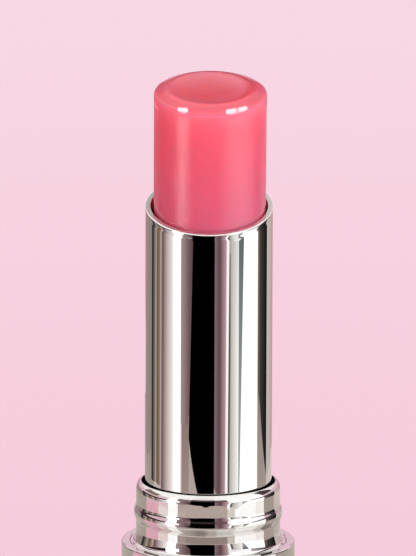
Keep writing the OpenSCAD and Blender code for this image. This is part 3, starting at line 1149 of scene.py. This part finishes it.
def glowing_paper(
    name: str,
    stops: Sequence[Stop],
    tones_along: Along,
    bright: Pair,
    bright_along: Along,
    crown: tuple[str, float, float] | None = None,
) -> Material:
    """Makes paper that glows by itself, for what the chrome and the wax mirror.

    Args:
        name: Name of the material.
        stops: Place and sRGB hex colour of each tone, in order.
        tones_along: The way that the tones run.
        bright: Brightness at the start and at the end, as a multiple of the written colour.
        bright_along: The way that the brightness runs.
        crown: A tone that takes over from edge to edge, with where it starts and where it is whole.

    Returns:
        The material.
    """
    material, graph = empty_material(name)
    parts = graph.add("SeparateXYZ", values={"Vector": graph.add("TexCoord").outputs["UV"]}).outputs
    tone = graph.add("ValToRGB", values={"Fac": parts[tones_along.value]}, stops=stops).outputs["Color"]
    if crown:
        code, start, whole = crown
        rise = {"Value": parts["Y"], "From Min": start, "From Max": whole}
        share = graph.add("MapRange", values=rise).outputs["Result"]
        tone = graph.add("Mix", {"data_type": "RGBA"}, {0: share, 6: tone, 7: srgb(code)}).outputs[2]
    lift = {"Value": parts[bright_along.value], "To Min": bright[0], "To Max": bright[1]}
    strength = graph.add("MapRange", values=lift).outputs["Result"]
    glow = graph.add("Emission", values={"Color": tone, "Strength": strength})
    graph.add("OutputMaterial", values={"Surface": glow.outputs["Emission"]})
    return material


@dataclass(frozen=True)
class Card:
    """An upright card that only shows in reflections, by angle and distance. Tones run to the right."""

    name: str
    left: Pair
    right: Pair
    tones: tuple[str, str]
    heights: Pair
    crown: tuple[str, float, float] | None = None
    bright: Pair = (1.0, 1.0)
    left_top: Pair | None = None
    right_top: Pair | None = None

    def build(self, metal: float) -> Piece:
        """Stands the card up.

        Args:
            metal: Share of light that the chrome gives back, by which the card is lifted.

        Returns:
            The card.
        """
        foot, top = self.heights
        low = [polar(*self.left, foot), polar(*self.right, foot)]
        high = [polar(*(self.left_top or self.left), top), polar(*(self.right_top or self.right), top)]
        crown = None
        if self.crown:
            code, start, whole = self.crown
            crown = (code, (start - foot) / (top - foot), (whole - foot) / (top - foot))
        lifted = (self.bright[0] / metal, self.bright[1] / metal)
        stops = [(0.0, self.tones[0]), (1.0, self.tones[1])]
        paper = glowing_paper(self.name + "_paper", stops, Along.EDGE, lifted, Along.ACROSS, crown)
        return hang_band(self.name, low, high, paper)


@dataclass(frozen=True)
class Mat:
    """A sector of paper that only shows in reflections, on the floor or hung over it. Tones run outwards."""

    name: str
    angles: Pair
    tones: Stops
    lift: float = 0.1

    def build(self, metal: float) -> Piece:
        """Lays the mat down.

        Args:
            metal: Share of light that the chrome gives back, by which the mat is lifted.

        Returns:
            The mat.
        """
        inner, outer = self.tones[0][0], self.tones[-1][0]
        steps = max(1, round((self.angles[1] - self.angles[0]) / TURN_STEP))
        turns = [self.angles[0] + (self.angles[1] - self.angles[0]) * i / steps for i in range(steps + 1)]
        low = [polar(turn, inner, self.lift) for turn in turns]
        high = [polar(turn, outer, self.lift) for turn in turns]
        stops = [((reach - inner) / (outer - inner), code) for reach, code in self.tones]
        lifted = (1 / metal, 1 / metal)
        paper = glowing_paper(self.name + "_paper", stops, Along.ACROSS, lifted, Along.ACROSS)
        return hang_band(self.name, low, high, paper)


@dataclass(frozen=True)
class Ribbon:
    """A long soft box that bends over the stick. Its edges are directions from the balm's top."""

    name: str
    left: tuple[tuple[float, float, float], ...]
    right: tuple[tuple[float, float, float], ...]
    bright: Pair = (12.0, 12.0)
    reach: float = 430.0
    eye_z: float = 73.0

    def build(self) -> Piece:
        """Hangs the ribbon.

        Returns:
            The ribbon.
        """
        edges = [
            [Vector(way).normalized() * self.reach + Vector((0, 0, self.eye_z)) for way in edge]
            for edge in (self.left, self.right)
        ]
        paper = glowing_paper(self.name + "_cloth", WHITE, Along.EDGE, self.bright, Along.EDGE)
        return hang_band(self.name, edges[0], edges[1], paper)


@dataclass(frozen=True)
class Lamp:
    """A soft box that lights without being mirrored. Its brightness is a multiple of white."""

    name: str
    angle: float
    distance: float
    height: float
    size: Pair
    bright: float
    tint: str = "FFFFFF"
    aim_z: float = 60.0

    def build(self) -> Piece:
        """Hangs the lamp, which neither the camera nor a mirror sees.

        Returns:
            The lamp.
        """
        light = bpy.data.lights.new(self.name, "AREA")
        light.shape = "RECTANGLE"
        light.size, light.size_y = (v * MM for v in self.size)
        light.energy = self.bright * math.pi * light.size * light.size_y
        light.color = srgb(self.tint)[:3]
        lamp = bpy.data.objects.new(self.name, light)
        bpy.context.scene.collection.objects.link(lamp)
        place = polar(self.angle, self.distance, self.height) * MM
        lamp.location = place
        aim = Vector((0, 0, self.aim_z * MM)) - place
        lamp.rotation_euler = aim.to_track_quat("-Z", "Y").to_euler()
        lamp.visible_camera = False
        lamp.visible_glossy = False
        return lamp


@dataclass
class Studio:
    """Floor, papers, ceiling, lamps and room. Sizes in millimetres, angles in degrees."""

    metal: float = 0.67
    floor_size: float = 12000.0
    # The floor's tone is painted darker towards the stick and lighter away from it, as painted light.
    floor_fade: Pair = (100.0, 360.0)
    floor_tones: Stops = ((0.0, "F5CCDB"), (0.5, "F7D1DF"), (1.0, "F8D7E4"))
    room_tone: str = "FFF4F6"
    room_bright: float = 0.35
    backdrop: str = "F8D7E4"
    ceiling: tuple[float, float, float] = (770, 640, 620)
    disc_lift: float = 0.1
    cards: tuple[Card, ...] = (
        Card("black_card_foot", (-35.5, 154.1), (-19.7, 128.2), ("000000", "000000"), (0, 31),
             left_top=(-27.2, 137.7)),
        Card("black_card_left", (-27.2, 137.7), (-19.7, 128.2), ("000000", "000000"), (31, 88)),
        Card("black_card", (-19.7, 128.2), (10.1, 127), ("000000", "000000"), (0, 88)),
        Card("dim_card", (-33, 163.5), (12, 144.3), ("6A5C57", "6A5C57"), (60, 135)),
        Card("mauve_card_left", (-50.9, 161.6), (-36.5, 161.6), ("A08F92", "725A5D"), (0, 130)),
        Card("mauve_card_back", (-36.5, 165.5), (-24, 165.5), ("725A5D", "382627"), (0, 140)),
        Card("mauve_card_right", (10.1, 130.8), (19, 125.1), ("7D6A71", "60444A"), (0, 120)),
        Card("mauve_card_end", (19, 125.1), (31.4, 123.1), ("5F4349", "C0A3A9"), (0, 120),
             right_top=(34.5, 123.1)),
        Card("sliver_white", (29.6, 122.2), (34.2, 122.2), ("F6F2F2", "FBFBFB"), (0, 120),
             left_top=(36.0, 122.2), right_top=(40.0, 122.2)),
        Card("sliver_dark", (33.8, 122.7), (37.0, 122.7), ("3C3B3E", "6C6764"), (0, 30),
             left_top=(36.6, 122.7), right_top=(41.0, 122.7)),
        Card("panel_grey", (36.6, 123.1), (54.3, 123.1), ("A9A29C", "F8F8F7"), (0, 33), ("AEB0AF", 18, 60)),
        Card("panel_upper", (31.0, 122.8), (69.0, 121.2), ("D8D8D8", "FFFFFF"), (33, 48), bright=(1.0, 1.2)),
        Card("panel_upper_edge", (69.0, 121.2), (97.6, 123.1), ("E4E0DE", "504A48"), (33, 48),
             bright=(0.5, 0.6)),
        Card("panel_top", (36.6, 124.1), (54.3, 124.1), ("E8E8E8", "FFFFFF"), (48, 124), bright=(1.6, 4.0)),
        Card("panel_top_right", (56.0, 126), (97.6, 126), ("FFFFFF", "FBF7F5"), (48, 124),
             bright=(1.1, 2.0)),
        Card("dim_upper_right", (97.6, 202), (127.5, 202), ("403C3B", "4A3C3E"), (0, 60)),
        Card("blush_upper_right", (127.5, 202), (178, 230.9), ("BA7482", "CC8E9C"), (0, 45)),
        Card("sliver_slate", (54.0, 123.7), (56.5, 123.7), ("B0B5B7", "8E9599"), (0, 40), ("5E676D", 2, 32),
             left_top=(54.0, 123.7), right_top=(66.8, 123.7)),
        Card("panel_white", (56.0, 126), (76.0, 126), ("FFFFFF", "FFFFFF"), (0, 33), bright=(1.1, 1.1)),
        Card("panel_cream", (76.0, 126), (97.6, 126), ("FFFFFF", "FBF7F5"), (0, 33), bright=(1.1, 1.1)),
        Card("charcoal_edge", (97.6, 177), (106, 165.5), ("806F6A", "403D3C"), (0, 26)),
        Card("charcoal_card", (105.5, 165.5), (127.5, 128.9), ("3C3A39", "0A0A09"), (0, 32)),
        Card("warm_card", (127.5, 128.9), (152, 139.5), ("BEB4AF", "AC9F9B"), (0, 33)),
        Card("dusk_card", (152, 139.5), (172, 144.3), ("A98C8C", "C298A5"), (0, 31)),
        Card("strip_left", (-65.6, 123.1), (-50.9, 123.1), ("FFFFFF", "FFFFFF"), (0, 33), bright=(1.3, 1.3)),
        Card("strip_upper", (-67.5, 123.1), (-45.0, 123.1), ("FFFFFF", "FFFFFF"), (32, 47),
             bright=(2.1, 2.3)),
        Card("strip_top", (-65.6, 123.1), (-50.9, 123.1), ("FFFFFF", "FFFFFF"), (47, 124),
             bright=(2.3, 4.0)),
        Card("dim_upper_left", (-128, 202), (-67.5, 192.4), ("3A2C2E", "2A1C1E"), (0, 60)),
        Card("blush_upper_left", (-178, 230.9), (-128, 202), ("C28492", "865660"), (0, 45)),
        Card("pinkish_card", (-90.6, 125.1), (-65.4, 125.1), ("75595D", "F6EEEE"), (0, 33),
             left_top=(-89.3, 125.1)),
        Card("mauve_line", (-94.5, 126), (-90.0, 126), ("8A787C", "5A3F42"), (0, 33), left_top=(-93.2, 126),
             right_top=(-88.5, 126)),
        Card("pale_line", (-98.5, 127), (-94.0, 127), ("9A8278", "C0AAAA"), (0, 33)),
        Card("brown_card", (-106.9, 127.5), (-96.7, 127.5), ("62503F", "8F7660"), (0, 33)),
        Card("pale_sliver", (-111.9, 127.8), (-106.4, 127.8), ("A39990", "98897F"), (0, 33)),
        Card("grey_sliver", (-117.9, 127.5), (-111.9, 127.5), ("5A534D", "80756C"), (0, 33)),
        Card("dark_card", (-124.4, 127.5), (-117.9, 127.5), ("282B2D", "343837"), (0, 33)),
        Card("grey_card", (-160.0, 144.3), (-124.5, 144.3), ("92817E", "88807A"), (0, 31)),
        Card("dusk_gap_left", (216, 396), (180, 320), ("E8C8D0", "3A2226"), (125, 560),
             ("DAD6D4", 270, 355)),
        Card("dusk_gap_right", (180, 320), (144, 396), ("3A2226", "E8C8D0"), (125, 560),
             ("DAD6D4", 270, 355)),
    )
    mats: tuple[Mat, ...] = (
        Mat("mat_front", (-35, 30), (
            (57.7, "CFC7C2"), (84.7, "AFA29D"), (94.3, "7A6E6A"), (102, "8E817C"), (109.7, "8E817B"),
            (119.3, "B0A29C"), (169.3, "AA9B96"))),
        Mat("mat_front_left", (-48.5, -35), (
            (57.7, "CFC7C2"), (94.3, "938680"), (111.6, "A3968F"), (119.3, "B8AAA4"), (128.9, "998A85"),
            (169.3, "84746F"))),
        Mat("mat_right_grey", (30, 42), ((57.7, "CFC7C2"), (94.3, "B4ABA6"), (125.1, "D8D0CC"))),
        Mat("mat_right_white", (42, 80), ((57.7, "DAD5D2"), (94.3, "F4F2F0"), (125.1, "FFFFFF"))),
        Mat("mat_right_cream", (80, 98), ((57.7, "CFC7C2"), (94.3, "EAE5E2"), (125.1, "F2EEEC"))),
        Mat("mat_right_brown", (98, 127), ((57.7, "A89C95"), (94.3, "A69B94"), (180.9, "8C807B"))),
        Mat("mat_right_beige", (127, 175), (
            (57.7, "A69A92"), (94.3, "A8A097"), (125.1, "C4B9B4"), (144.3, "C0B4B0"))),
        Mat("mat_left_white", (-65.5, -48.5), ((57.7, "E4DFDC"), (94.3, "FAF8F7"), (125.1, "FFFFFF"))),
        Mat("mat_left_blush", (-85, -65.5), (
            (57.7, "CDBBBB"), (94.3, "D8C9C6"), (119.3, "E2D6D3"), (126, "C79AA4"))),
        Mat("mat_left_pink", (-115, -85), (
            (57.7, "CBA3AD"), (94.3, "D9A5B4"), (119.3, "D9A5B4"), (124.1, "C3BAB7"), (165.5, "B0A5A0"))),
        Mat("mat_left_beige", (-175, -115), ((57.7, "B0A79F"), (119.3, "A0968E"), (165.5, "8A817C"))),
        Mat("flag_brown", (-128, -90.5), (
            (6.6, "F4F2F0"), (56, "F4F2F0"), (66, "7A6C62"), (127, "7A6C62")), FLAG_Z),
        Mat("flag_blush", (-90.5, -65.5), (
            (6.6, "F4F2F0"), (68, "F4F2F0"), (78, "D9C9CA"), (127, "D9C9CA")), FLAG_Z),
        Mat("flag_strip", (-65.5, -50.5), ((6.6, "F6F4F2"), (60, "FFFFFF"), (127, "FFFFFF")), FLAG_Z),
        Mat("flag_mauve", (-50.5, -28), (
            (6.6, "F4F2F0"), (54, "F4F2F0"), (66, "80696C"), (127, "80696C")), FLAG_Z),
        Mat("flag_dim", (-28, 11), (
            (6.6, "F4F2F0"), (46, "E4E0DE"), (58, "6A5C57"), (90, "2A2422"), (127, "141010")), FLAG_Z),
        Mat("flag_plum", (11, 31), (
            (6.6, "F4F2F0"), (52, "F4F2F0"), (64, "6E575D"), (127, "60444A")), FLAG_Z),
        Mat("flag_white", (31, 97.5), ((6.6, "F6F4F2"), (60, "FFFFFF"), (127, "FFFFFF")), FLAG_Z),
        Mat("flag_charcoal", (97.5, 127.5), (
            (6.6, "F4F2F0"), (36, "F4F2F0"), (46, "45403E"), (127, "3C3A39")), FLAG_Z),
        Mat("flag_right_back", (127.5, 180), (
            (6.6, "C4C0BC"), (19, "C4C0BC"), (28, "F0ECEA"), (127, "E0D0D2")), FLAG_Z),
        Mat("flag_left_back", (180, 232), (
            (6.6, "ACA8A4"), (19, "ACA8A4"), (28, "F0ECEA"), (127, "E0D0D2")), FLAG_Z),
        Mat("flag_cloth", (-180, 180), ((6.6, "A05A66"), (127, "7A4A52")), CLOTH_Z),
    )
    ribbons: tuple[Ribbon, ...] = (
        Ribbon(
            "ribbon_left",
            ((-.884, -.353, .306), (-.744, -.208, .635), (-.546, .039, .837), (-.325, .340, .882),
             (-.306, .402, .863)),
            ((-.673, -.648, .357), (-.558, -.441, .703), (-.404, -.124, .906), (-.238, .246, .940),
             (-.215, .355, .910)),
        ),
        Ribbon(
            "ribbon_right",
            ((.481, -.790, .380), (.397, -.553, .733), (.286, -.202, .937), (.167, .202, .965),
             (.153, .304, .940)),
            ((.756, -.558, .342), (.630, -.370, .683), (.458, -.075, .886), (.270, .274, .923),
             (.249, .363, .898)),
        ),
        Ribbon(
            "ribbon_far_right",
            ((.792, -.512, .334), (.661, -.334, .672), (.482, -.050, .875), (.284, .289, .914),
             (.262, .378, .888)),
            ((.942, -.194, .275), (.801, -.080, .594), (.593, .130, .795), (.356, .392, .848),
             (.339, .442, .831)),
        ),
    )
    disc_radii: Pair = (2, 58)
    # The disc is dimmer inwards: painted shade of the floor round the stick's foot.
    disc_bright: Pair = (0.6, 1.06)
    disc_tones: Stops = (
        (0, "B9AFAA"), (10, "B4A9A4"), (14, "D2CBC7"), (40, "D8D2CE"), (44, "F4F1EF"), (78, "F0ECEA"),
        (82, "CFC7C2"), (97, "C4BBB6"), (99, "7E746F"), (126, "8A7F79"), (128, "B4AAA2"),
        (150, "A2978F"), (172, "B8ADA6"), (176, "D2ACB6"), (184, "D2ACB6"), (188, "B2A89F"),
        (215, "91877F"), (243, "A89E96"), (246, "D0A5B0"), (274, "CBA3AD"), (277, "D4C4C3"),
        (293, "CDBBBB"), (295.5, "F6F3F1"), (311, "F6F3F1"), (313, "BDB2AD"), (336, "9E938E"),
        (341, "8E837E"), (354, "968B86"), (360, "B9AFAA"),
    )
    lamps: tuple[Lamp, ...] = (
        Lamp("strip_lamp_left", -66.0, 190, 130, (60, 220), 4.8, "FFD2CA"),
        Lamp("panel_lamp_right", 40.0, 190, 130, (130, 220), 3.9),
        Lamp("overhead_lamp", 10.0, 120, 520, (380, 300), 0.8),
    )

    def build(self) -> None:
        """Builds floor, cards, mats, ribbons, disc, ceiling, lamps and world."""
        self._floor()
        for thing in (*self.cards, *self.mats):
            thing.build(self.metal)
        for ribbon in self.ribbons:
            ribbon.build()
        self._disc()
        self._ceiling()
        for lamp in self.lamps:
            lamp.build()
        self._world()
        counts = (len(self.cards), len(self.mats), len(self.ribbons), len(self.lamps))
        LOG.info("studio: %d cards, %d mats, %d ribbons, %d lamps", *counts)

    def _floor(self) -> None:
        """Lays the pale pink paper floor: diffuse for light that bounces off it, glowing where the camera or
        a mirror sees it.
        """
        bpy.ops.object.select_all(action="DESELECT")
        bpy.ops.mesh.primitive_plane_add(size=self.floor_size * MM, location=(0, 0, 0))
        floor = bpy.context.object
        floor.name = "paper_floor"
        material, graph = empty_material("pink_seamless_paper")
        away = graph.off_axis(graph.add("TexCoord").outputs["Object"])
        # Painted light: the tone fades lighter with distance from the stick.
        first, last = metres(*self.floor_fade)
        fade = graph.add("MapRange", values={"Value": away, "From Min": first, "From Max": last})
        shares = {"Fac": fade.outputs["Result"]}
        tone = graph.add("ValToRGB", values=shares, stops=self.floor_tones).outputs["Color"]
        lit = graph.add("BsdfDiffuse", values={"Color": tone})
        glow = graph.add("Emission", values={"Color": tone})
        graph.end_in_mix("OutputMaterial", graph.seen(), lit, glow)
        floor.data.materials.append(material)

    def _disc(self) -> None:
        """Lays a disc round the stick's foot that only shows in reflections, darker inwards as painted shade
        of the floor near the foot.
        """
        inner, outer = self.disc_radii
        turns = range(0, 361, TURN_STEP)
        middle = [polar(turn, inner, self.disc_lift) for turn in turns]
        ring = [polar(turn, outer, self.disc_lift) for turn in turns]
        lifted = (self.disc_bright[0] / self.metal, self.disc_bright[1] / self.metal)
        stops = [(turn / 360, code) for turn, code in self.disc_tones]
        paper = glowing_paper("disc_paper", stops, Along.EDGE, lifted, Along.ACROSS)
        hang_band("floor_disc", middle, ring, paper)

    def _ceiling(self) -> None:
        """Hangs the broad white panel over the stick that the lip, bead and crest reflect."""
        wide, deep, height = self.ceiling
        corners = [Vector((side * wide, near * deep, height)) for near in (-1, 1) for side in (-1, 1)]
        lifted = (1 / self.metal, 1 / self.metal)
        cloth = glowing_paper("ceiling_panel_cloth", WHITE, Along.EDGE, lifted, Along.EDGE)
        hang_band("ceiling_panel", corners[:2], corners[2:], cloth)

    def _world(self) -> None:
        """Fills the room with pale light, and shows pink where the camera looks past the floor."""
        world = bpy.data.worlds.new("room")
        bpy.context.scene.world = world
        world.use_nodes = True
        world.node_tree.nodes.clear()
        graph = Graph(world.node_tree)
        room = graph.add("Background", values={"Color": srgb(self.room_tone), "Strength": self.room_bright})
        backdrop = graph.add("Background", values={"Color": srgb(self.backdrop)})
        graph.end_in_mix("OutputWorld", graph.seen(), room, backdrop)


@dataclass
class PhotoCamera:
    """The camera at the photograph's viewing angle. Sizes in millimetres, angles in degrees."""

    elevation: float = 13.3
    roll: float = 0.2
    distance: float = 1450.0
    pixels_per_mm: float = 9.3
    picture_width: int = 416
    aim_x: float = -0.108
    aim_z: float = 52.995
    sensor: float = 36.0
    clip_metres: Pair = (0.05, 200.0)

    def build(self) -> None:
        """Places the camera and makes it the scene's own."""
        scene = bpy.context.scene
        lens = bpy.data.cameras.new("photo_camera")
        lens.sensor_fit = "HORIZONTAL"
        lens.sensor_width = self.sensor
        lens.lens = self.pixels_per_mm * self.sensor * self.distance / self.picture_width
        lens.clip_start, lens.clip_end = self.clip_metres
        camera = bpy.data.objects.new("photo_camera", lens)
        scene.collection.objects.link(camera)
        tilt = math.radians(self.elevation)
        lean = math.radians(self.roll)
        back = Vector((0, -math.cos(tilt), math.sin(tilt)))
        up = Vector((0, math.sin(tilt), math.cos(tilt)))
        side = Vector((1, 0, 0))
        across = side * math.cos(lean) + up * math.sin(lean)
        upright = up * math.cos(lean) - side * math.sin(lean)
        place = Vector((self.aim_x, 0, self.aim_z)) * MM + back * self.distance * MM
        turn = Matrix((across, upright, back)).transposed().to_4x4()
        camera.matrix_world = Matrix.Translation(place) @ turn
        scene.camera = camera
        LOG.info("camera: %.0f mm lens at %.1f m", lens.lens, self.distance * MM)


def main() -> None:
    """Builds the stick's pieces in order, dresses them, and sets up studio and camera."""
    logging.basicConfig(level=logging.INFO, format="%(name)s: %(message)s")
    lathe = Lathe()
    for part in (BaseShell(), Collar(), TubeCover(), BalmBullet()):
        part.dress(part.build(lathe))
    Mechanism().dress(frame["nodes"])
    Studio().build()
    PhotoCamera().build()
    bpy.context.scene.view_settings.view_transform = "Standard"


if __name__ == "__main__":
    main()
